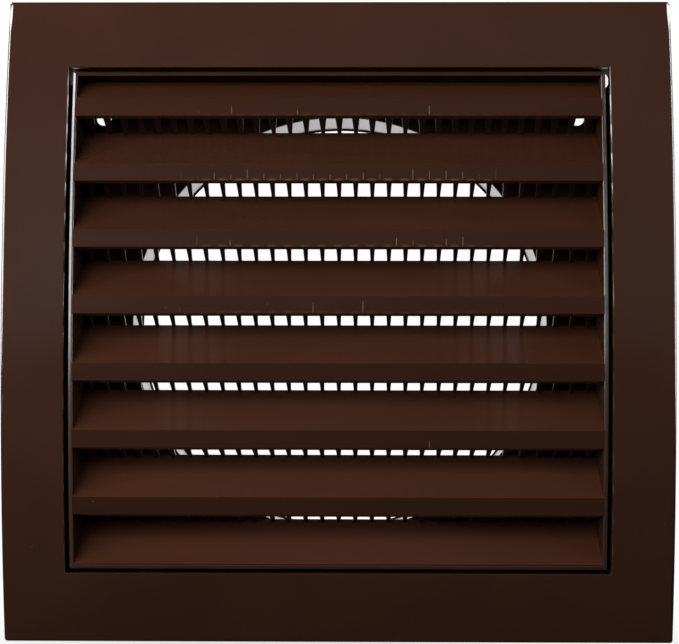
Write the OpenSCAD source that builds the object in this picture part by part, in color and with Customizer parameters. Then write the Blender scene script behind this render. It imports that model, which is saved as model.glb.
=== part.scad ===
// Wall ventilation grille: a bowed outer frame with a duct spigot behind it,
// and a louvred insert with an insect comb that snaps into its recess.
// The origin is the centre of the wall face, +Z is up and the front looks along -Y.

/* [Outer frame] */
// Width of the frame
frame_w = 186.5; // [182:0.5:200]
// Height of the frame
frame_h = 180; // [176:1:194]
// Depth from the wall to the middle of the front
frame_depth = 33; // [31:0.5:40]
// How far the middle of the front stands before its top and bottom edges
bow_rise = 11.4; // [8:0.2:14]
// Wall of the front and of the skirt
frame_wall = 2.2; // [1.6:0.1:3]
// Radius of the front's outer edges
edge_round = 0.9; // [0.4:0.1:1.4]
// Radius of the four corners, seen from the front
corner_round = 1.0; // [0.5:0.1:3]
// Thickness of the webs between skirt and recess
rib_t = 1.5; // [1:0.1:2.5]
// Distance of the webs from the frame's centre lines
rib_offset = 34; // [20:1:50]

/* [Recess] */
// Width of the aperture
aperture_w = 151.4; // [148:0.2:156]
// Height of the aperture
aperture_h = 141.2; // [139:0.2:146]
// Radius of the aperture's front edge
aperture_round = 0.4; // [0.2:0.1:1]
// Thickness of the recess walls
recess_wall = 2; // [1.4:0.1:3]
// Width of the catch pockets, outwards from the recess
pocket_w = 2.4; // [2.2:0.1:3]
// How far the catch pockets reach down from the recess's top
pocket_drop = 4.3; // [3.5:0.1:6]
// How far the catch pockets rise above the recess's top
pocket_rise = 2.6; // [2.4:0.1:3]
// Radius of the catch pockets' upper corner
pocket_round = 2; // [0.5:0.1:2.2]
// Wall round the catch pockets
pocket_wall = 1.2; // [0.8:0.1:1.6]
// Wall left in front of the catch pockets
pocket_land = 0.3; // [0.2:0.1:1]

/* [Back plate and duct] */
// Thickness of the back plate
plate_t = 2; // [1.5:0.1:3]
// Bore of the duct spigot
duct_bore = 120; // [100:1:126]
// Wall of the duct spigot
spigot_wall = 2.3; // [1.6:0.1:3]
// Length of the duct spigot behind the wall face
spigot_len = 26; // [15:1:60]
// Height of the inner bead at the spigot's end
spigot_bead = 0.4; // [0.2:0.1:1]
// Length of the lead-in bevel at the spigot's end
spigot_bevel = 1.2; // [0.5:0.1:2]
// Diameter of the screw holes
screw_hole = 4.5; // [3:0.1:5.5]
// Distance of the screw holes from the sides of the recess
screw_side = 6.9; // [4.5:0.1:9]
// Distance of the screw holes from the top and bottom of the recess
screw_end = 10.9; // [7:0.1:15]

/* [Insert frame] */
// Clearance between insert and aperture, on each side
insert_gap = 1.1; // [0.6:0.1:1.6]
// How far the insert lies behind the front of the frame
insert_inset = 0.6; // [0.2:0.1:1.5]
// Clearance between insert and back plate
insert_rear_gap = 0.6; // [0.4:0.1:2]
// Thickness of the insert's rails
rail_t = 1.2; // [1:0.1:2]
// Radius of the rails' front edges
rail_round = 0.25; // [0.2:0.05:0.45]
// Length of a snap catch, from front to back
catch_d = 4; // [3:0.5:7]
// Height of a snap catch
catch_h = 2.3; // [1.5:0.1:3]
// Distance of a snap catch behind the front end of its pocket
catch_setback = 10; // [8:0.5:12]
// Clearance between a snap catch and the recess wall
catch_gap = 0.3; // [0.2:0.05:0.5]

/* [Louvres] */
// Distance from the insert's top to the foot of the first lip
first_lip = 12.75; // [12:0.05:14]
// Height of the last lip that shows above the bottom rail
last_lip = 0.25; // [0.2:0.05:1.5]
// Height of the front lip
lip_h = 4.9; // [4:0.05:6]
// Thickness of the front lip
lip_t = 1.6; // [1.2:0.1:2.2]
// Clearance between the lowest louvre and the back plate
louvre_gap = 0.9; // [0.8:0.1:4]
// Height of a louvre's rear edge above the foot of its lip
louvre_rise = 16.45; // [14:0.05:17]
// Thickness of the sloping blade
blade_t = 1.6; // [1.2:0.1:2.2]
// Radius of the lip's front edges
lip_round = 0.2; // [0.1:0.05:0.6]
// How far the flange reaches back behind the lip
flange_d = 0.6; // [0.4:0.1:4]
// Thickness of the flange under the lip
flange_t = 1.2; // [1:0.1:1.6]
// How far the flange falls towards its rear
flange_fall = 0.55; // [0.2:0.05:1]

/* [Insect comb] */
// Distance from one bar to the next
bar_pitch = 4.625; // [4:0.025:6]
// Width of a bar at its root
bar_root_w = 1.35; // [0.9:0.05:1.6]
// Width of a bar at its foot
bar_foot_w = 0.65; // [0.4:0.05:0.9]
// Thickness of a bar
bar_t = 1.2; // [0.8:0.1:1.6]
// Angle at which the bars fall away behind the lip
bar_angle = 29; // [20:1:40]
// Depth of the rail that carries the bars
comb_rail_d = 0.8; // [0.6:0.1:2]

/* [Hidden] */

frame_brown = "#3f2a20";
insert_brown = "#3a251b";

// Radius of the bowed front and the depth of its axis, which runs along X
bow_r = (pow(frame_h / 2, 2) + pow(bow_rise, 2)) / (2 * bow_rise);
bow_y = bow_r - frame_depth;
bow_band = 2 * frame_depth;
over = 1;

inner_w = frame_w - 2 * frame_wall;
inner_h = frame_h - 2 * frame_wall;
recess_w = aperture_w + 2 * recess_wall;
recess_h = aperture_h + 2 * recess_wall;
screw_dx = aperture_w - 2 * screw_side;
screw_dz = aperture_h - 2 * screw_end;

pocket_top = aperture_h / 2 + pocket_rise;
pocket_front = bow_y - sqrt(pow(bow_r - frame_wall, 2) - pow(pocket_top, 2)) + pocket_land;

insert_r = bow_r - insert_inset;
insert_w = aperture_w - 2 * insert_gap;
insert_h = aperture_h - 2 * insert_gap;
insert_back = -plate_t - insert_rear_gap;
opening_w = insert_w - 2 * rail_t;
opening_h = insert_h - 2 * rail_t;

louvre_count = 8;
louvre_pitch = (insert_h - first_lip + lip_h - rail_t - last_lip) / (louvre_count - 1);
louvre_depth = -plate_t - louvre_gap - front_at(lip_foot_z(louvre_count) + lip_h / 2);
blade_angle = atan2(louvre_rise - lip_h, louvre_depth);
blade_drop = blade_t / cos(blade_angle);
bar_count = floor((opening_w / 2 - bar_root_w) / bar_pitch);

// Draws a side view, with depth as x and height as y, and stretches it along X
module along_x(w) {
    rotate([90, 0, 90])
        linear_extrude(w, center = true)
            children();
}

// Turns a section, with radius as x and width as y, about the axis of the bow
module about_bow() {
    translate([0, bow_y, 0])
        rotate([0, 90, 0])
            rotate_extrude($fn = 720)
                children();
}

// The part of a side view that lies within the angle from the bow's axis to height z at radius r
module bow_wedge(z, r) {
    y = sqrt(r * r - z * z);
    reach = 1.1;
    polygon([[bow_y, 0], [bow_y - reach * y, reach * z], [bow_y - reach * y, -reach * z]]);
}

// Side view of a block with a bowed front, its top and bottom front edges rounded by e
module bowed_side(h, r, e, back) {
    z = h / 2 - e;
    y = bow_y - sqrt(pow(r - e, 2) - z * z);
    intersection() {
        translate([bow_y, 0]) circle(r, $fn = 720);
        bow_wedge(z, r - e);
        translate([back - bow_band, -h]) square([bow_band, 2 * h]);
    }
    translate([y, -h / 2]) square([back - y, h]);
    if (e > 0)
        for (side = [-1, 1])
            translate([y, side * z]) circle(e, $fn = 32);
}

// Section across the same block, its side edges rounded by e
module bowed_section(w, r, e) {
    translate([r - bow_band, -w / 2]) square([bow_band - e, w]);
    translate([r - bow_band, e - w / 2]) square([bow_band, w - 2 * e]);
    if (e > 0)
        for (side = [-1, 1])
            translate([r - e, side * (w / 2 - e)]) circle(e, $fn = 32);
}

// Block w wide and h high with a bowed front of radius r, cut off at depth back
module bowed_block(w, h, r, e, back) {
    intersection() {
        about_bow() bowed_section(w, r, e);
        along_x(w) bowed_side(h, r, e, back);
    }
}

// Cutter for an opening through a bowed front, whose front edge is rounded by e
module bowed_opening(w, h, r, e, back) {
    z = h / 2 + e;
    y = bow_y - sqrt(pow(r - e, 2) - z * z);
    front = bow_y - r - over;
    intersection() {
        about_bow() {
            translate([r - bow_band, -w / 2]) square([bow_band + over, w]);
            difference() {
                translate([r - e, -w / 2 - e]) square([e + over, w + 2 * e]);
                for (side = [-1, 1])
                    translate([r - e, side * (w / 2 + e)]) circle(e, $fn = 32);
            }
        }
        along_x(w + 2 * e) {
            translate([front, -h / 2]) square([back - front, h]);
            difference() {
                intersection() {
                    bow_wedge(z, r - e);
                    translate([front, -z]) square([y - front, 2 * z]);
                }
                for (side = [-1, 1])
                    translate([y, side * z]) circle(e, $fn = 32);
            }
        }
    }
}

// Box w wide and h high, from depth front to depth back
module wall_box(w, h, front, back) {
    translate([-w / 2, front, -h / 2]) cube([w, back - front, h]);
}

// Box like wall_box with its four upright corners rounded by r
module rounded_box(w, h, front, back, r) {
    translate([0, back, 0])
        rotate([90, 0, 0])
            linear_extrude(back - front) {
                square([w - 2 * r, h], center = true);
                square([w, h - 2 * r], center = true);
                for (x = [-1, 1], z = [-1, 1])
                    translate([x * (w / 2 - r), z * (h / 2 - r)]) circle(r, $fn = 48);
            }
}

// Hollow behind the bowed front, as deep as back
module frame_hollow(back) {
    bowed_block(inner_w, inner_h, bow_r - frame_wall, 0, back);
}

// The bowed front and the skirt that runs back to the wall
module face_frame() {
    color(frame_brown)
        difference() {
            intersection() {
                bowed_block(frame_w, frame_h, bow_r, edge_round, 0);
                rounded_box(frame_w, frame_h, -frame_depth - over, 0, corner_round);
            }
            frame_hollow(over);
            bowed_opening(aperture_w, aperture_h, bow_r, aperture_round, over);
        }
}

// The catch pocket at each upper corner of the recess, grown by a wall, from depth front to the rear
module catch_pockets(wall, front) {
    h = pocket_drop + pocket_rise + 2 * wall;
    w = pocket_w + wall;
    r = pocket_round + wall;
    for (side = [0, 1])
        mirror([side, 0, 0])
            translate([aperture_w / 2, over, pocket_top + wall - h])
                rotate([90, 0, 0])
                    linear_extrude(over - front) {
                        square([w - r, h]);
                        square([w, h - r]);
                        translate([w - r, h - r]) circle(r, $fn = 48);
                    }
}

// Four walls from the aperture back to the plate, with a walled catch pocket at each upper corner
module recess_walls() {
    color(frame_brown)
        difference() {
            intersection() {
                frame_hollow(0);
                union() {
                    wall_box(recess_w, recess_h, -frame_depth, -plate_t);
                    catch_pockets(pocket_wall, -frame_depth);
                }
            }
            wall_box(aperture_w, aperture_h, -frame_depth - over, over);
            catch_pockets(0, pocket_front);
        }
}

// Plate against the wall, with the duct opening, four screw holes and room for the catch pockets
module back_plate() {
    color(frame_brown)
        difference() {
            wall_box(recess_w, recess_h, -plate_t, 0);
            rotate([90, 0, 0]) cylinder(h = 4 * plate_t, d = duct_bore, center = true, $fn = 180);
            for (x = [-1, 1], z = [-1, 1])
                translate([x * screw_dx / 2, 0, z * screw_dz / 2])
                    rotate([90, 0, 0]) cylinder(h = 4 * plate_t, d = screw_hole, center = true, $fn = 48);
            catch_pockets(pocket_wall, -frame_depth);
        }
}

// Round tube for the duct, with a bead inside and a lead-in bevel outside at its end
module duct_spigot() {
    bore_r = duct_bore / 2;
    outer_r = bore_r + spigot_wall;
    bead_r = bore_r - spigot_bead;
    color(frame_brown)
        rotate([-90, 0, 0])
            rotate_extrude($fn = 180)
                polygon([
                    [bore_r, 0],
                    [outer_r, 0],
                    [outer_r, spigot_len - spigot_bevel],
                    [outer_r - spigot_bevel / 2, spigot_len],
                    [bead_r, spigot_len],
                    [bead_r, spigot_len - spigot_bead],
                    [bore_r, spigot_len - 2 * spigot_bead]
                ]);
}

// Webs that stiffen the hollow between the skirt and the recess
module frame_ribs() {
    side_reach = (inner_w - recess_w) / 2;
    top_reach = (inner_h - recess_h) / 2;
    color(frame_brown)
        intersection() {
            frame_hollow(0);
            for (side = [-1, 1], at = [-rib_offset, rib_offset]) {
                translate([side * (recess_w + side_reach) / 2, 0, at])
                    wall_box(side_reach, rib_t, -frame_depth, 0);
                translate([at, 0, side * (recess_h + top_reach) / 2])
                    wall_box(rib_t, top_reach, -frame_depth, 0);
            }
        }
}

// Four thin rails round the louvres, their front edges rounded and bowed like the frame
module insert_frame() {
    color(insert_brown)
        difference() {
            bowed_block(insert_w, insert_h, insert_r, rail_round, insert_back);
            bowed_opening(opening_w, opening_h, insert_r, rail_round, over);
        }
}

// Two wedges high on the side rails, which snap into the pockets of the recess
module snap_catches() {
    reach = insert_gap - catch_gap;
    lead = catch_d / 2;
    z = aperture_h / 2 - pocket_drop + catch_gap;
    color(insert_brown)
        for (side = [0, 1])
            mirror([side, 0, 0])
                translate([insert_w / 2, pocket_front + catch_setback, z])
                    linear_extrude(catch_h)
                        polygon([[0, 0], [reach, lead], [reach, catch_d - reach], [0, catch_d]]);
}

function unit(v) = v / norm(v);

// Points of the arc of radius r that rounds corner p between points a and b
function corner_arc(a, p, b, r) =
    let (
        u = unit(a - p),
        v = unit(b - p),
        half = acos(u * v) / 2,
        centre = p + unit(u + v) * r / sin(half),
        first = p + u * r / tan(half) - centre,
        last = p + v * r / tan(half) - centre,
        from = atan2(first[1], first[0]),
        turn = atan2(first[0] * last[1] - first[1] * last[0], first * last),
        steps = 4
    )
    r > 0
        ? [for (i = [0:steps]) centre + r * [cos(from + turn * i / steps), sin(from + turn * i / steps)]]
        : [p];

// Outline through points p, each corner rounded by its own radius in r
function rounded(p, r) =
    let (n = len(p))
    [for (i = [0:n - 1]) each corner_arc(p[(i + n - 1) % n], p[i], p[(i + 1) % n], r[i])];

// Depth of the insert's bowed front at height z
function front_at(z) = bow_y - sqrt(insert_r * insert_r - z * z);

// Places on louvre k: foot and top of its lip, top of its rear edge and rear of its flange, where the comb is
function lip_foot_z(k) = insert_h / 2 - first_lip - (k - 1) * louvre_pitch;
function lip_foot(k) = [front_at(lip_foot_z(k)), lip_foot_z(k)];
function lip_top(k) = [front_at(lip_foot_z(k) + lip_h), lip_foot_z(k) + lip_h];
function rear_top(k) = [front_at(lip_foot_z(k) + lip_h / 2) + louvre_depth, lip_foot_z(k) + louvre_rise];
function comb_seat(k) = lip_foot(k) + [lip_t + flange_d, -flange_fall];

// Side view of louvre k: a lip, the blade that rises behind it and a flange below
module louvre_side(k) {
    foot = lip_foot(k);
    top = lip_top(k);
    rear = rear_top(k);
    back_y = foot[0] + lip_t;
    under_z = top[1] + (back_y - top[0]) * tan(blade_angle) - blade_drop;
    flange_end = comb_seat(k);
    soft = lip_round;
    polygon(rounded(
        [
            foot,
            top,
            rear,
            rear - [0, blade_drop],
            [back_y, under_z],
            [back_y, foot[1] + flange_t],
            flange_end + [0, flange_t],
            flange_end
        ],
        [soft, soft, soft, soft, soft, soft, 0, 0]
    ));
}

// Louvre k, cut off where it meets the top or the bottom rail
module louvre(k) {
    color(insert_brown)
        along_x(opening_w)
            intersection() {
                louvre_side(k);
                translate([-frame_depth, -opening_h / 2]) square([frame_depth, opening_h]);
            }
}

// Side view of the slanting bars below louvre k, down to the blade of the next louvre
module bar_side(k) {
    root = comb_seat(k) + [comb_rail_d / 2, flange_fall / 2];
    along = [cos(bar_angle), -sin(bar_angle)];
    across = [sin(bar_angle), cos(bar_angle)] * bar_t / 2;
    tip = root + along * louvre_depth;
    top = lip_top(k + 1);
    rear = rear_top(k + 1);
    ahead = [min(lip_foot(k)[0], top[0]) - lip_t, top[1]];
    up = [0, louvre_pitch];
    intersection() {
        polygon([root + across, root - across, tip - across, tip + across]);
        polygon([ahead, top, rear, rear + up, ahead + up]);
    }
}

// Insect comb below louvre k: a rail behind the flange and a row of tapered bars
module screen(k) {
    root_z = lip_foot_z(k);
    foot_z = root_z - louvre_pitch / 2;
    color(insert_brown) {
        along_x(opening_w)
            translate(comb_seat(k)) square([comb_rail_d, flange_t]);
        intersection() {
            along_x(opening_w) bar_side(k);
            rotate([90, 0, 0])
                linear_extrude(frame_depth)
                    for (i = [-bar_count:bar_count])
                        translate([i * bar_pitch, 0])
                            polygon([
                                [-bar_root_w / 2, root_z],
                                [-bar_foot_w / 2, foot_z],
                                [bar_foot_w / 2, foot_z],
                                [bar_root_w / 2, root_z]
                            ]);
        }
    }
}

face_frame();
recess_walls();
back_plate();
duct_spigot();
frame_ribs();
insert_frame();
snap_catches();
louvre(1);  // louvre_1
louvre(2);  // louvre_2
louvre(3);  // louvre_3
louvre(4);  // louvre_4
louvre(5);  // louvre_5
louvre(6);  // louvre_6
louvre(7);  // louvre_7
louvre(8);  // louvre_8
screen(1);  // screen_1
screen(2);  // screen_2
screen(3);  // screen_3
screen(4);  // screen_4
screen(5);  // screen_5
screen(6);  // screen_6
screen(7);  // screen_7
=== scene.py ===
import math

import bpy
import numpy as np
from mathutils import Matrix, Vector


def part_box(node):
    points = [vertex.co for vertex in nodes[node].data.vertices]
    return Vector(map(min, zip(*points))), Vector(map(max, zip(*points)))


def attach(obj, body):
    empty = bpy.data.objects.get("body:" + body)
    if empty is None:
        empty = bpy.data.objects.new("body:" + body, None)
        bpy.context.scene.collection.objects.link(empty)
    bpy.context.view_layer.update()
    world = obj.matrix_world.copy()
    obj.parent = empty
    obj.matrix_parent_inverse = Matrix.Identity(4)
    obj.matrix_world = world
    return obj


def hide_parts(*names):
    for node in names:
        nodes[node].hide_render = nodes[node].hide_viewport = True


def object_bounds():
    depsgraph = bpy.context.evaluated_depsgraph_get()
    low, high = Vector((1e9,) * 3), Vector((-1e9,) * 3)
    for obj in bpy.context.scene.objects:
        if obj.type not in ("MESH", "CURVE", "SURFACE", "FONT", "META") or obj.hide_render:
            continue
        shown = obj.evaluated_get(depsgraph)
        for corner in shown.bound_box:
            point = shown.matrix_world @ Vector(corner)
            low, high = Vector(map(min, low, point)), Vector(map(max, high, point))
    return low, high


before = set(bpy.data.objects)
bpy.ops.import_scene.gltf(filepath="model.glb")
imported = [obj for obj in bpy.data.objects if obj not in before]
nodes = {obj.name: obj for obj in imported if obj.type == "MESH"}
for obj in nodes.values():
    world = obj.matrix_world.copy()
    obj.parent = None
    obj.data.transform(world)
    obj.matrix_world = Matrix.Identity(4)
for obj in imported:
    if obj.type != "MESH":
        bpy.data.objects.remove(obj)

cad_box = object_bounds()


# Outer frame: the bowed square front with its skirt, in one moulding with all the parts behind it.
# Brown ABS, injection moulded in a fine-polished tool, so that it is semi-gloss, with faint flow marks and a
# little dust. Its brown is painted deeper at the bottom and paler at the top, painted shade and painted light
# for the light from above on the bowed face.

mm = 0.001
roughness_spread = 0.03
grain_mm = 0.7
abs_ior = 1.54
dust_grey = "#8f8178"
dust_roughness = 0.6
dust_strength = 0.5
# Painted light and shade: how far above and below the middle, and by how much, the brown is painted paler at
# the top and deeper at the bottom
painted_light_reach_mm = 88
painted_light_gain = 0.3


def linear(code):
    """An sRGB hex code as linear red, green, blue and alpha."""
    parts = [int(code[i:i + 2], 16) / 255 for i in (1, 3, 5)]
    return (*[p / 12.92 if p <= 0.04045 else ((p + 0.055) / 1.055) ** 2.4 for p in parts], 1)


def add(tree, kind, inputs=None, **settings):
    """Adds a node of a kind with its settings, and its inputs as values or as links from other sockets."""
    node = tree.nodes.new("ShaderNode" + kind)
    for key, value in settings.items():
        setattr(node, key, value)
    for key, value in (inputs or {}).items():
        if isinstance(value, bpy.types.NodeSocket):
            tree.links.new(value, node.inputs[key])
        else:
            node.inputs[key].default_value = value
    return node


def moulded_abs(name, deep, pale, roughness, specular=0.5, flow_mm=38, stretch=(1, 1, 1), grain=0.02):
    """A brown ABS moulding. Its colour mixes deep and pale by a noise of flow marks as wide as flow_mm, drawn
    out where the stretch is under 1. Its roughness goes up and down by a small spread with a noise a third
    as wide, for the tool's polish, and a fine grain lifts the surface. Returns the material, its tree, its
    shader and the place in mm."""
    material = bpy.data.materials.new(name)
    material.use_nodes = True
    tree = material.node_tree
    shader = tree.nodes["Principled BSDF"]
    metres = add(tree, "TexCoord").outputs["Object"]
    place = add(tree, "VectorMath", {0: metres, "Scale": 1 / mm}, operation="SCALE").outputs[0]
    drawn = add(tree, "VectorMath", {0: place, 1: stretch}, operation="MULTIPLY").outputs[0]
    flow = add(tree, "TexNoise", {
        "Vector": drawn, "Scale": 1 / flow_mm, "Detail": 4, "Roughness": 0.6, "Distortion": 0.6,
    })
    share = add(tree, "MapRange", {"Value": flow.outputs[0], "From Min": 0.3, "From Max": 0.7})
    colour = add(tree, "MixRGB", {"Fac": share.outputs[0], "Color1": linear(deep), "Color2": linear(pale)})
    tree.links.new(colour.outputs[0], shader.inputs["Base Color"])
    polish = add(tree, "TexNoise", {"Vector": drawn, "Scale": 3 / flow_mm, "Detail": 3, "Roughness": 0.55})
    gloss = add(tree, "MapRange", {
        "Value": polish.outputs[0], "From Min": 0.3, "From Max": 0.7,
        "To Min": roughness - roughness_spread, "To Max": roughness + roughness_spread,
    })
    tree.links.new(gloss.outputs[0], shader.inputs["Roughness"])
    pits = add(tree, "TexNoise", {"Vector": place, "Scale": 1 / grain_mm, "Detail": 2, "Roughness": 0.5})
    lift = add(tree, "Bump", {"Height": pits.outputs[0], "Strength": grain, "Distance": mm})
    tree.links.new(lift.outputs[0], shader.inputs["Normal"])
    shader.inputs["IOR"].default_value = abs_ior
    shader.inputs["Specular IOR Level"].default_value = specular
    return material, tree, shader, place


def lay(tree, shader, mask, colour, roughness):
    """Lays a colour and a roughness over a finish: each is the finish's own where the mask is 0 and the new
    one where it is 1, with a straight mix between."""
    under = shader.inputs["Base Color"].links[0].from_socket
    over = add(tree, "MixRGB", {"Fac": mask, "Color1": under, "Color2": linear(colour)})
    tree.links.new(over.outputs[0], shader.inputs["Base Color"])
    under = shader.inputs["Roughness"].links[0].from_socket
    over = add(tree, "MapRange", {"Value": mask, "To Min": under, "To Max": roughness})
    tree.links.new(over.outputs[0], shader.inputs["Roughness"])


def dusted(tree, shader, place, spacing_mm, speck_mm, share):
    """Specks of dust on faces that look forwards: dots round the middles of cells, on a share of the cells.
    A dot is full up to half its radius of speck_mm and fades to nothing at the whole of it."""
    flat = add(tree, "VectorMath", {0: place, 1: (1, 0, 1)}, operation="MULTIPLY").outputs[0]
    cells = add(tree, "TexVoronoi", {"Vector": flat, "Scale": 1 / spacing_mm})
    dot = add(tree, "MapRange", {
        "Value": cells.outputs["Distance"],
        "From Min": speck_mm / spacing_mm, "From Max": 0.5 * speck_mm / spacing_mm,
    })
    tone = add(tree, "SeparateXYZ", {0: cells.outputs["Color"]})
    kept = add(tree, "Math", {0: tone.outputs[0], 1: share}, operation="LESS_THAN")
    facing = add(tree, "SeparateXYZ", {0: add(tree, "NewGeometry").outputs["Normal"]})
    ahead = add(tree, "MapRange", {"Value": facing.outputs[1], "From Min": -0.3, "From Max": -0.5})
    mask = dot.outputs[0]
    for part in (kept.outputs[0], ahead.outputs[0], dust_strength):
        mask = add(tree, "Math", {0: mask, 1: part}, operation="MULTIPLY").outputs[0]
    lay(tree, shader, mask, dust_grey, dust_roughness)


def paint_light_upwards(tree, shader, place, mask=None, masked_gain=1.0):
    """Painted light and shade: multiplies the colour by a gain that grows in a straight line with the height,
    from 1 less painted_light_gain at painted_light_reach_mm below the middle to 1 and painted_light_gain as
    far above it, so that the top is painted paler and the bottom deeper. Where a mask is given, it goes over
    to a fixed gain as the mask goes to 1."""
    spot = add(tree, "SeparateXYZ", {0: place})
    gain = add(tree, "MapRange", {
        "Value": spot.outputs[2], "From Min": -painted_light_reach_mm, "From Max": painted_light_reach_mm,
        "To Min": 1 - painted_light_gain, "To Max": 1 + painted_light_gain,
    }).outputs[0]
    if mask is not None:
        gain = add(tree, "MapRange", {"Value": mask, "To Min": gain, "To Max": masked_gain}).outputs[0]
    under = shader.inputs["Base Color"].links[0].from_socket
    scaled = add(tree, "VectorMath", {0: under, "Scale": gain}, operation="SCALE")
    tree.links.new(scaled.outputs[0], shader.inputs["Base Color"])


def dress(material, *names):
    """Gives a material to CAD nodes."""
    for name in names:
        nodes[name].data.materials.clear()
        nodes[name].data.materials.append(material)


front_abs, tree, shader, place = moulded_abs(
    "front_abs_semi_gloss", deep="#392016", pale="#3f2419", roughness=0.2)
# Painted light and shade on the front: paler at the top, deeper at the bottom
paint_light_upwards(tree, shader, place)
dusted(tree, shader, place, spacing_mm=5, speck_mm=0.16, share=0.12)
dress(front_abs, "face_frame")


# Recess, back plate and webs: the inner walls of the same moulding, which the tool leaves a dull satin,
# with faint draw marks where the core was pulled out along the depth.

inner_abs = moulded_abs(
    "inner_abs_satin", deep="#36211a", pale="#3f291f", roughness=0.7, specular=0.15,
    flow_mm=14, stretch=(1, 0.15, 1), grain=0.04)[0]
dress(inner_abs, "recess_walls", "back_plate", "frame_ribs")


# Duct spigot: the round tube behind the plate, in the same moulding. Its draw marks run along the duct,
# and its polished core leaves it a little glossier than the front.

spigot_abs = moulded_abs(
    "spigot_abs_drawn", deep="#38231a", pale="#412b20", roughness=0.14,
    flow_mm=9, stretch=(1, 0.08, 1), grain=0.03)[0]
dress(spigot_abs, "duct_spigot")


# Insert rails: four thin rails round the louvres, moulded in one piece with them and bowed like the frame.
# Each rail's front slopes back towards the outside, so that it mirrors the light beside it. The same brown
# ABS, semi-gloss in front and dull on the sides, where the tool's slot can't be polished.

rail_low, rail_high = [np.array(corner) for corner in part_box("insert_frame")]
bow_radius = 360.363 * mm
bow_axis_y = rail_low[1] + bow_radius

# A rail's section: half its thickness, where its crest lies, how far the front lies behind the crest at the
# outer and at the inner side, any depth that is in the deep half, and the rounding of each corner
rail_half = 0.6 * mm
rail_crest = -0.25 * mm
rail_outer_drop = 0.38 * mm
rail_inner_drop = 0.2 * mm
rail_back = 12 * mm
rail_radii = np.array([0.05, 0.15, 0.3, 0.1, 0.05]) * mm


def rounded(corners, radii, steps=6):
    """A closed outline through corners, each rounded by its radius: the arc's centre lies on the corner's
    bisector, at the radius over the sine of half the angle, and its ends are where it meets the sides.
    A point a little before and after each arc keeps the flat sides flat when they are shaded."""
    outline = []
    for i, corner in enumerate(corners):
        back, on = corners[i - 1] - corner, corners[(i + 1) % len(corners)] - corner
        back, on = back / np.linalg.norm(back), on / np.linalg.norm(on)
        half = np.arccos(back @ on) / 2
        centre = corner + (back + on) / np.linalg.norm(back + on) * radii[i] / np.sin(half)
        first, last = [corner + side * radii[i] / np.tan(half) - centre for side in (back, on)]
        turn = np.arctan2(first[0] * last[1] - first[1] * last[0], first @ last)
        angle = np.arctan2(first[1], first[0]) + turn * np.linspace(0, 1, steps)
        arc = centre + radii[i] * np.stack([np.cos(angle), np.sin(angle)], 1)
        outline.append(np.vstack([arc[0] + back * radii[i] / 4, arc, arc[-1] + on * radii[i] / 4]))
    return np.vstack(outline)


def smooth_piece(name, points, faces, sharp_degrees):
    """A piece from points and faces, shaded smooth but for the edges at which it turns by more than an angle
    in degrees."""
    mesh = bpy.data.meshes.new(name)
    mesh.from_pydata(points.tolist(), [], faces)
    mesh.polygons.foreach_set("use_smooth", np.ones(len(mesh.polygons), bool))
    mesh.set_sharp_from_angle(angle=math.radians(sharp_degrees))
    piece = bpy.data.objects.new(name, mesh)
    bpy.context.scene.collection.objects.link(piece)
    return piece


def closed_tube(name, points):
    """A piece from a grid of points that closes on itself both ways: each face joins a point with the next
    one along the row, the next row and both."""
    rows, columns = points.shape[:2]
    row, column = np.meshgrid(np.arange(rows), np.arange(columns), indexing="ij")
    row_on, column_on = (row + 1) % rows, (column + 1) % columns
    corners = [(row, column), (row_on, column), (row_on, column_on), (row, column_on)]
    faces = np.stack([r * columns + c for r, c in corners], -1)
    return smooth_piece(name, points.reshape(-1, 3), faces.reshape(-1, 4).tolist(), sharp_degrees=22)


def bowed_ring(name, corners, radii, half_width, half_height, back_y, stops_across=24, stops_up=60):
    """A rail carried round a rectangle, its section given by corners of distance outwards and depth.
    A stop on the way has shares of the half width and half height between -1 and 1: x and z are the shares
    times the half size plus the distance. Depth counts from the bow's circle at that height, or for the
    deep half of the section from the flat back."""
    outline = rounded(corners, radii)
    outwards, depth = outline.T
    along = np.linspace(-1, 1, stops_across, endpoint=False)
    up = np.linspace(-1, 1, stops_up, endpoint=False)
    bottom = np.stack([along, -np.ones(along.size)], 1)
    right = np.stack([np.ones(up.size), up], 1)
    stops = np.vstack([bottom, right, -bottom, -right])
    x = stops[:, :1] * (half_width + outwards)
    z = stops[:, 1:] * (half_height + outwards)
    front = bow_axis_y - np.sqrt(bow_radius ** 2 - z ** 2)
    deepest = depth.max()
    y = np.where(depth > deepest / 2, back_y + depth - deepest, front + depth)
    return closed_tube(name, np.stack([x, y, z], -1))


rail_section = np.array([
    (rail_half, rail_back),
    (rail_half, rail_outer_drop),
    (rail_crest, 0),
    (-rail_half, rail_inner_drop),
    (-rail_half, rail_back),
])
insert_rails = bowed_ring(
    "insert_rails", rail_section, rail_radii,
    rail_high[0] - rail_half, rail_high[2] - rail_half, rail_high[1])
rail_abs = moulded_abs(
    "rail_abs_semi_gloss", deep="#38221a", pale="#40291f", roughness=0.2, flow_mm=20, grain=0.03)[0]
side_abs = moulded_abs(
    "rail_side_abs_dull", deep="#33201a", pale="#3a251c", roughness=0.75, specular=0.0,
    flow_mm=20, grain=0.03)[0]
insert_rails.data.materials.append(rail_abs)
insert_rails.data.materials.append(side_abs)

# The faces that look neither forwards nor back are the sides
normals = np.empty(3 * len(insert_rails.data.polygons))
insert_rails.data.polygons.foreach_get("normal", normals)
is_side = np.abs(normals[1::3]) < 0.3
insert_rails.data.polygons.foreach_set("material_index", is_side.astype(int))
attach(insert_rails, "louvre_insert")
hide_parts("insert_frame")
dress(rail_abs, "insert_frame", "snap_catches")


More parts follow.
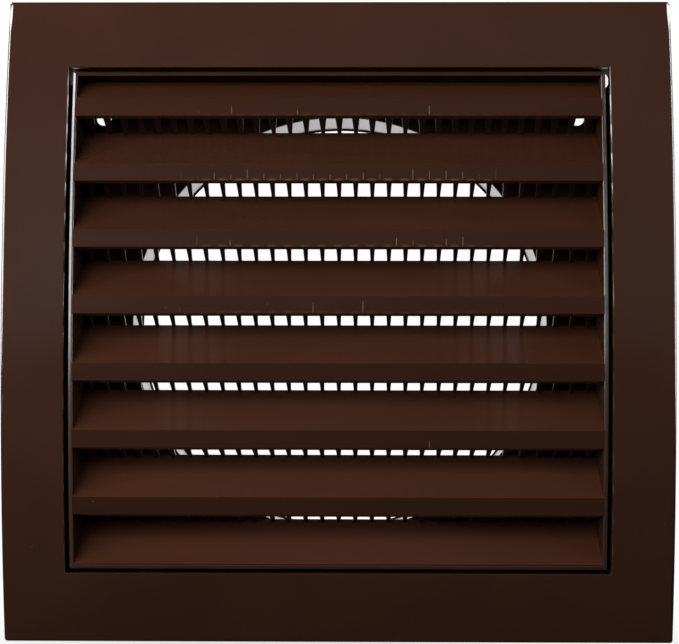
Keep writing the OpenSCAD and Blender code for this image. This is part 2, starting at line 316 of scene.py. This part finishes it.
# Louvres: eight sloping blades with an upright lip in front, part of the insert's moulding. Semi-gloss ABS
# with long flow marks across. The blades' upper faces are painted paler than the lips, a painted light for
# the light that falls on them, and the lips are painted paler towards the top like the front. The lips have
# thin scuff lines and pale dashes along their foot, at about the spacing of the comb's bars.

# Painted light: how much paler the blades' upper faces are painted than the lips
painted_upper_face_light = 2.56
louvre_count = 8

# A louvre's lowest point is the rear of its flange, flange_fall below the foot of its lip. The bottom rail
# cuts the lowest louvre short, so the first and the seventh give the pitch
flange_fall = 0.55 * mm
foot_1, foot_7 = [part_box(name)[0][2] + flange_fall for name in ("louvre_1", "louvre_7")]
louvre_pitch = (foot_1 - foot_7) / 6
lowest_foot = foot_7 - louvre_pitch

# Scuffs and dashes on the lips: the width of a cell, their colour and their roughness
scuff_mm = 4.6
scuff_tan = "#8a7567"
scuff_roughness = 0.45

# Where a mark is gone and where it is full: a line by the distance from its middle and from the lip's foot, a
# dash by the share of the cell from its middle and by the height over the foot, and both by the distance from
# the grille's middle
line_side_mm = (0.16, 0.05)
line_foot_mm = (0.15, 0.5)
dash_share = (0.12, 0.42)
dash_foot_mm = (1.0, 0.15)
scuff_reach_mm = (48, 32)

# The least and the most that a line reaches up and shows, how softly its top ends, how much a dash shows,
# and the share of lines that a plain lip keeps
line_top_mm = (1.6, 3.8)
line_strength = (0.25, 0.7)
line_top_fade_mm = 0.6
dash_strength = 0.3
plain_lip_lines = 0.04

# Lips with more marks: the number counted from the lowest as 0, the share of lines kept, and how much of the
# dashes shows
scuffed_lips = ((7, 0.15, 0.3), (6, 0.85, 1.0), (5, 0.4, 0.6), (4, 0.2, 0.25))


def scuffed(tree, shader, place):
    """Pale marks on the lips, in cells scuff_mm wide: a scuff as a thin upright line in the middle of a cell,
    from the lip's foot up, and a pale soft dash along the foot at the cell's border. A line's mask is the
    product of its width, its two ends, its strength and its fading towards the sides. Random numbers for each
    cell of each lip choose the lines that are kept, their height and their strength."""
    spot = add(tree, "SeparateXYZ", {0: place})
    column = add(tree, "Math", {0: spot.outputs[0], 1: 1 / scuff_mm}, operation="MULTIPLY").outputs[0]
    cell = add(tree, "Math", {0: column}, operation="FLOOR").outputs[0]
    within = add(tree, "Math", {0: column}, operation="FRACT").outputs[0]
    aside = add(tree, "Math", {0: within, 1: 0.5}, operation="SUBTRACT").outputs[0]
    aside = add(tree, "Math", {0: aside}, operation="ABSOLUTE").outputs[0]
    height = add(tree, "Math", {0: spot.outputs[2], 1: lowest_foot / mm}, operation="SUBTRACT").outputs[0]
    level = add(tree, "Math", {0: height, 1: mm / louvre_pitch}, operation="MULTIPLY").outputs[0]
    lip = add(tree, "Math", {0: level}, operation="FLOOR").outputs[0]
    above = add(tree, "Math", {0: level}, operation="FRACT").outputs[0]
    above = add(tree, "Math", {0: above, 1: louvre_pitch / mm}, operation="MULTIPLY").outputs[0]
    chance = add(tree, "CombineXYZ", {0: cell, 1: lip})
    chance = add(tree, "TexWhiteNoise", {"Vector": chance.outputs[0]}, noise_dimensions="3D")
    drawn = add(tree, "SeparateXYZ", {0: chance.outputs["Color"]})
    share, shown = plain_lip_lines, 0.0
    for number, lip_share, lip_shown in scuffed_lips:
        hit = add(tree, "Math", {0: lip, 1: number, 2: 0.5}, operation="COMPARE").outputs[0]
        share = add(tree, "Math", {0: hit, 1: lip_share, 2: share}, operation="MULTIPLY_ADD").outputs[0]
        shown = add(tree, "Math", {0: hit, 1: lip_shown, 2: shown}, operation="MULTIPLY_ADD").outputs[0]
    kept = add(tree, "Math", {0: drawn.outputs[0], 1: share}, operation="LESS_THAN").outputs[0]
    width = add(tree, "MapRange", {
        "Value": aside, "From Min": line_side_mm[0] / scuff_mm, "From Max": line_side_mm[1] / scuff_mm,
    }).outputs[0]
    tall = add(tree, "MapRange", {
        "Value": drawn.outputs[1], "To Min": line_top_mm[0], "To Max": line_top_mm[1],
    }).outputs[0]
    top = add(tree, "Math", {0: tall, 1: above}, operation="SUBTRACT").outputs[0]
    top = add(tree, "MapRange", {"Value": top, "From Max": line_top_fade_mm}).outputs[0]
    low = add(tree, "MapRange", {
        "Value": above, "From Min": line_foot_mm[0], "From Max": line_foot_mm[1],
    }).outputs[0]
    reach = add(tree, "Math", {0: spot.outputs[0]}, operation="ABSOLUTE").outputs[0]
    inside = add(tree, "MapRange", {
        "Value": reach, "From Min": scuff_reach_mm[0], "From Max": scuff_reach_mm[1],
    }).outputs[0]
    strong = add(tree, "MapRange", {
        "Value": drawn.outputs[2], "To Min": line_strength[0], "To Max": line_strength[1],
    }).outputs[0]
    line = kept
    for part in (width, top, low, inside, strong):
        line = add(tree, "Math", {0: line, 1: part}, operation="MULTIPLY").outputs[0]
    dash = add(tree, "MapRange", {
        "Value": aside, "From Min": dash_share[0], "From Max": dash_share[1],
    }, interpolation_type="SMOOTHSTEP").outputs[0]
    edge = add(tree, "MapRange", {
        "Value": above, "From Min": dash_foot_mm[0], "From Max": dash_foot_mm[1],
    }, interpolation_type="SMOOTHSTEP").outputs[0]
    for part in (edge, shown, inside, dash_strength):
        dash = add(tree, "Math", {0: dash, 1: part}, operation="MULTIPLY").outputs[0]
    facing = add(tree, "SeparateXYZ", {0: add(tree, "NewGeometry").outputs["True Normal"]})
    ahead = add(tree, "Math", {0: facing.outputs[1], 1: -0.8}, operation="LESS_THAN").outputs[0]
    mask = add(tree, "Math", {0: line, 1: dash}, operation="MAXIMUM").outputs[0]
    mask = add(tree, "Math", {0: mask, 1: ahead}, operation="MULTIPLY").outputs[0]
    lay(tree, shader, mask, scuff_tan, scuff_roughness)


louvre_abs, tree, shader, place = moulded_abs(
    "louvre_abs_scuffed", deep="#341d13", pale="#3a2016", roughness=0.2, specular=0.25,
    flow_mm=30, stretch=(0.35, 1, 1), grain=0.03)
# Painted light: faces that look up are painted paler by a fixed gain, the others paler towards the top
facing = add(tree, "SeparateXYZ", {0: add(tree, "NewGeometry").outputs["Normal"]})
painted_light_faces = add(tree, "MapRange", {"Value": facing.outputs[2], "From Min": 0.4, "From Max": 0.8})
paint_light_upwards(tree, shader, place, painted_light_faces.outputs[0], painted_upper_face_light)
scuffed(tree, shader, place)
dusted(tree, shader, place, spacing_mm=4, speck_mm=0.15, share=0.15)
dress(louvre_abs, *["louvre_%d" % k for k in range(1, louvre_count + 1)])


# Insect combs: rows of thin tapered bars in each gap, part of the insert's moulding. A rail under the blade
# above carries them, hidden by its lip, and they end at the rear edge of the blade below, on its upper face.
# The narrow slots of the tool leave them a little duller than the blades.

bar_pitch = 4.725 * mm
bars_a_side = 15
bar_t = 1 * mm
bar_t_least = 0.03 * mm
bar_rounding = 0.3
comb_rail_depth = 1.2 * mm
comb_rail_radius = 0.1 * mm
root_setback = 3.8 * mm
blade_angle = math.radians(27.1)
blade_slope = math.tan(blade_angle)
blade_t = 1.6 * mm

# From the top comb down: how many degrees its bars fall towards the rear, and half their width at the root.
# All have the same half width at the foot
bar_falls = [22.5, 22.5, 26, 22.5, 19.5, 12, 12]
bar_root_halves = np.array([1.55, 1.1, 1.1, 1.1, 1.1, 1.1, 1.1]) * mm
bar_foot_half = 0.47 * mm

# Fillets: what is added to the half width at the very end, and the distance over which it dies away
root_fillet = (0.5 * mm, 0.7 * mm)
foot_fillet = (0.2 * mm, 0.5 * mm)


def capped_tubes(name, groups):
    """A piece of tubes with flat ends from groups of points, each a grid of tubes, stations and outline:
    each face joins a point with the next one round the outline, the next station and both."""
    points, faces, used = [], [], 0
    for grid in groups:
        tubes, stations, sides = grid.shape[:3]
        index = used + np.arange(tubes * stations * sides).reshape(tubes, stations, sides)
        used += index.size
        near, far = index[:, :-1], index[:, 1:]
        sheet = np.stack([near, far, np.roll(far, -1, 2), np.roll(near, -1, 2)], -1)
        faces += sheet.reshape(-1, 4).tolist() + index[:, 0].tolist() + index[:, -1, ::-1].tolist()
        points.append(grid.reshape(-1, 3))
    return smooth_piece(name, np.vstack(points), faces, sharp_degrees=35)


def comb_bars(root, foot, root_half, stations=22, gathering=1.6):
    """The bars of one comb, from root to foot in the side view of depth and height. Their half width runs in
    a straight line from root to foot, plus a fillet at each end that dies away exponentially. Their thickness
    hangs below the line and shrinks near the foot, where the tangent of the angle to the blade limits it.
    The stations gather towards the foot: the length left at each is a power of the share of stations left."""
    length = np.linalg.norm(foot - root)
    along = (foot - root) / length
    down = np.array([along[1], -along[0]])
    gone = length * (1 - (1 - np.linspace(0, 1, stations)) ** gathering)
    left = length - gone
    half = root_half + (bar_foot_half - root_half) * gone / length
    for (extra, reach), distance in ((root_fillet, gone), (foot_fillet, left)):
        half = half + extra * np.exp(-distance / reach)
    meeting = math.atan2(-along[1], along[0]) + blade_angle
    thick = np.clip(left * math.tan(meeting), bar_t_least, bar_t)
    outline = rounded(np.array([(-1.0, 0), (-1, 1), (1, 1), (1, 0)]), [bar_rounding] * 4, steps=4)
    middle = np.arange(-bars_a_side, bars_a_side + 1) * bar_pitch
    x = middle[:, None, None] + half[None, :, None] * outline[None, None, :, 0]
    side = root + gone[:, None, None] * along + thick[:, None, None] * outline[None, :, 1, None] * down
    y, z = [np.broadcast_to(side[None, ..., i], x.shape) for i in (0, 1)]
    return np.stack([x, y, z], -1)


def comb_rail(root, under_z, half_width):
    """The rail of one comb, as a group of one tube: a section of depth and height, from the blade's underside
    down to the bars' lower faces, carried along the width."""
    front, rear = root[0] - comb_rail_depth / 2, root[0] + comb_rail_depth / 2
    low = root[1] - bar_t
    rise = blade_slope * comb_rail_depth / 2
    corners = np.array([(front, under_z - rise), (front, low), (rear, low), (rear, under_z + rise)])
    depth, height = rounded(corners, [comb_rail_radius] * 4, steps=3).T
    x = np.linspace(-half_width, half_width, 9)
    return np.stack(np.broadcast_arrays(x[:, None], depth, height), -1)[None]


comb_abs = moulded_abs(
    "comb_abs_satin", deep="#2b1a14", pale="#33211a", roughness=0.34,
    flow_mm=8, stretch=(1, 0.3, 1), grain=0.03)[0]
dress(comb_abs, *["screen_%d" % k for k in range(1, louvre_count)])
for k, (fall_degrees, root_half) in enumerate(zip(bar_falls, bar_root_halves), 1):
    above_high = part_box("louvre_%d" % k)[1]
    below_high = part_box("louvre_%d" % (k + 1))[1]
    lip_foot_z = lowest_foot + (louvre_count - k) * louvre_pitch
    lip_y = bow_axis_y - math.sqrt(bow_radius ** 2 - lip_foot_z ** 2)
    foot = np.array([below_high[1], below_high[2]])
    fall = math.tan(math.radians(fall_degrees))
    # The bars' line up from the foot meets the underside of the blade above at meets_y. The root is there,
    # or behind it where that would be too close to the lip
    under_rear = above_high[2] - blade_t / math.cos(blade_angle)
    meets_y = (foot[1] - under_rear + foot[0] * fall + above_high[1] * blade_slope) / (blade_slope + fall)
    root_y = max(lip_y + root_setback, meets_y)
    root = np.array([root_y, foot[1] + (foot[0] - root_y) * fall])
    under_z = under_rear - (above_high[1] - root_y) * blade_slope
    bars = comb_bars(root, foot, root_half)
    comb = capped_tubes("comb_%d" % k, [bars, comb_rail(root, under_z, above_high[0])])
    comb.data.materials.append(comb_abs)
    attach(comb, "louvre_insert")
    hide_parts("screen_%d" % k)


# Floor: a plain pale sheet just under the object, which fades to white away from it and keeps its shadow
# near it. For the light that it throws back it is grey, and the gloss sees it white far behind.

floor_z = cad_box[0][2] - 0.1 * mm
floor_reach = 6
fade_from = 0.08
fade_to = 0.16
fade_least = 0.55
floor_mesh = bpy.data.meshes.new("floor")
floor_mesh.from_pydata(
    [(x * floor_reach, y * floor_reach, floor_z) for x, y in ((-1, -1), (1, -1), (1, 1), (-1, 1))],
    [], [(0, 1, 2, 3)])
floor = bpy.data.objects.new("floor", floor_mesh)
bpy.context.scene.collection.objects.link(floor)


def seen(tree, *rays):
    """1 for the named kinds of ray, 0 for all others: the greatest of their marks."""
    path = add(tree, "LightPath")
    total = path.outputs[rays[0]]
    for ray in rays[1:]:
        total = add(tree, "Math", {0: total, 1: path.outputs[ray]}, operation="MAXIMUM").outputs[0]
    return total


floor_paper = bpy.data.materials.new("floor_paper_matt")
floor_paper.use_nodes = True
tree = floor_paper.node_tree
tree.nodes.clear()
in_view = seen(tree, "Is Camera Ray", "Is Transmission Ray")
tone = add(tree, "MixRGB", {"Fac": in_view, "Color1": linear("#4f4f4e"), "Color2": linear("#f2f2f1")})
matt = add(tree, "BsdfDiffuse", {"Color": tone.outputs[0]})
white = add(tree, "Emission", {"Strength": 1.0})
spot = add(tree, "TexCoord").outputs["Object"]
away = add(tree, "VectorMath", {0: spot}, operation="LENGTH")
far = add(tree, "MapRange", {
    "Value": away.outputs["Value"], "From Min": fade_from, "From Max": fade_to, "To Min": fade_least,
})
fade = add(tree, "Math", {0: far.outputs[0], 1: in_view}, operation="MULTIPLY")
depth = add(tree, "SeparateXYZ", {0: spot})
behind = add(tree, "MapRange", {"Value": depth.outputs[1], "From Min": 0.2, "From Max": 0.5})
gloss = add(tree, "Math", {0: behind.outputs[0], 1: seen(tree, "Is Glossy Ray")}, operation="MULTIPLY")
fade = add(tree, "Math", {0: fade.outputs[0], 1: gloss.outputs[0]}, operation="MAXIMUM")
paper = add(tree, "MixShader", {0: fade.outputs[0], 1: matt.outputs[0], 2: white.outputs[0]})
add(tree, "OutputMaterial", {"Surface": paper.outputs[0]})
floor_mesh.materials.append(floor_paper)


# Lamps: a soft frontal lamp, a softbox on each side in front, the left one stronger, a tall panel on each
# side for the gloss of the edges alone, and a weak pair behind for the rear. The frontal lamp and the pair
# behind have no mirror image.

def softbox(name, azimuth, elevation, distance, width, height, power):
    """A rectangular area lamp that faces the object, azimuth 0 in front of it and 90 on its right. Angles are
    in degrees, lengths in metres and the power in watts."""
    data = bpy.data.lights.new(name, "AREA")
    data.shape = "RECTANGLE"
    data.size = width
    data.size_y = height
    data.energy = power
    lamp = bpy.data.objects.new(name, data)
    bpy.context.scene.collection.objects.link(lamp)
    turn, rise = math.radians(azimuth), math.radians(elevation)
    ray = Vector((math.sin(turn) * math.cos(rise), -math.cos(turn) * math.cos(rise), math.sin(rise)))
    lamp.location = ray * distance
    lamp.rotation_mode = "QUATERNION"
    lamp.rotation_quaternion = (-ray).to_track_quat("-Z", "Y")
    lamp.visible_camera = False
    return lamp


softbox("softbox_front", -20, 10, 0.6, 0.25, 0.25, 1.9).visible_glossy = False
softbox("softbox_left", -48, 8, 0.9, 0.3, 0.3, 2.4)
softbox("softbox_right", 45, 8, 0.9, 0.3, 0.3, 0.8)
softbox("panel_left", -73, 16, 0.9, 0.45, 0.58, 19).visible_diffuse = False
softbox("panel_right", 78, 6, 0.9, 0.45, 0.7, 18).visible_diffuse = False
softbox("softbox_rear_left", -130, 25, 0.9, 0.35, 0.5, 3).visible_glossy = False
softbox("softbox_rear_right", 130, 25, 0.9, 0.35, 0.5, 3).visible_glossy = False


# Room: white in view, and dim grey for the light it gives, most of it from ahead and behind. The gloss sees
# the grey ahead, a low white band round the rear, where the duct and the thin edges pick it up, and almost
# nothing above it.

ahead_light = 0.155
least_light = 0.01
rear_light = 0.25
room = bpy.data.worlds.new("room")
bpy.context.scene.world = room
room.use_nodes = True
tree = room.node_tree
tree.nodes.clear()
heading = add(tree, "SeparateXYZ", {0: add(tree, "TexCoord").outputs["Generated"]})
toward = add(tree, "MapRange", {"Value": heading.outputs[1], "From Min": 0.0, "From Max": -1.0})
ahead = add(tree, "Math", {0: toward.outputs[0], 1: 2.0}, operation="POWER")
ahead = add(tree, "Math", {0: ahead.outputs[0], 1: ahead_light, 2: least_light}, operation="MULTIPLY_ADD")
rear = add(tree, "MapRange", {"Value": heading.outputs[1], "From Min": 0.0, "From Max": 0.3})
steep = add(tree, "Math", {0: heading.outputs[2]}, operation="ABSOLUTE")
level = add(tree, "MapRange", {"Value": steep.outputs[0], "From Min": 0.5, "From Max": 0.35})
band = add(tree, "Math", {0: rear.outputs[0], 1: level.outputs[0]}, operation="MULTIPLY")
gloss = add(tree, "Math", {0: ahead.outputs[0], 1: band.outputs[0]}, operation="MAXIMUM")
fill = add(tree, "MapRange", {
    "Value": heading.outputs[1], "From Min": 0.1, "From Max": 0.6, "To Min": 0, "To Max": rear_light,
})
fill = add(tree, "Math", {0: ahead.outputs[0], 1: fill.outputs[0]}, operation="MAXIMUM")
dim = add(tree, "MapRange", {
    "Value": seen(tree, "Is Glossy Ray"), "To Min": fill.outputs[0], "To Max": gloss.outputs[0],
})
in_view = seen(tree, "Is Camera Ray", "Is Transmission Ray")
strength = add(tree, "Math", {0: dim.outputs[0], 1: in_view}, operation="MAXIMUM")
light = add(tree, "Background", {"Color": (1, 1, 1, 1), "Strength": strength.outputs[0]})
add(tree, "OutputWorld", {"Surface": light.outputs[0]})


# Camera: a long lens almost square to the front, a little below and right of the middle. Its place, turns
# and focal length were fitted to the outline, the aperture and the rims of the duct.

camera_place = (0.0094, -0.633, -0.0288)
camera_turn = math.radians(0.8548)
camera_rise = math.radians(2.6375)
camera_roll = math.radians(0.120)
camera_lens_mm = 115.6
camera_data = bpy.data.cameras.new("camera")
camera_data.lens = camera_lens_mm
camera_data.sensor_fit = "HORIZONTAL"
camera = bpy.data.objects.new("camera", camera_data)
bpy.context.scene.collection.objects.link(camera)
camera.matrix_world = (
    Matrix.Translation(camera_place)
    @ Matrix.Rotation(camera_turn, 4, "Z")
    @ Matrix.Rotation(math.radians(90) + camera_rise, 4, "X")
    @ Matrix.Rotation(camera_roll, 4, "Z")
)
bpy.context.scene.camera = camera

bpy.context.scene.view_settings.view_transform = "Standard"
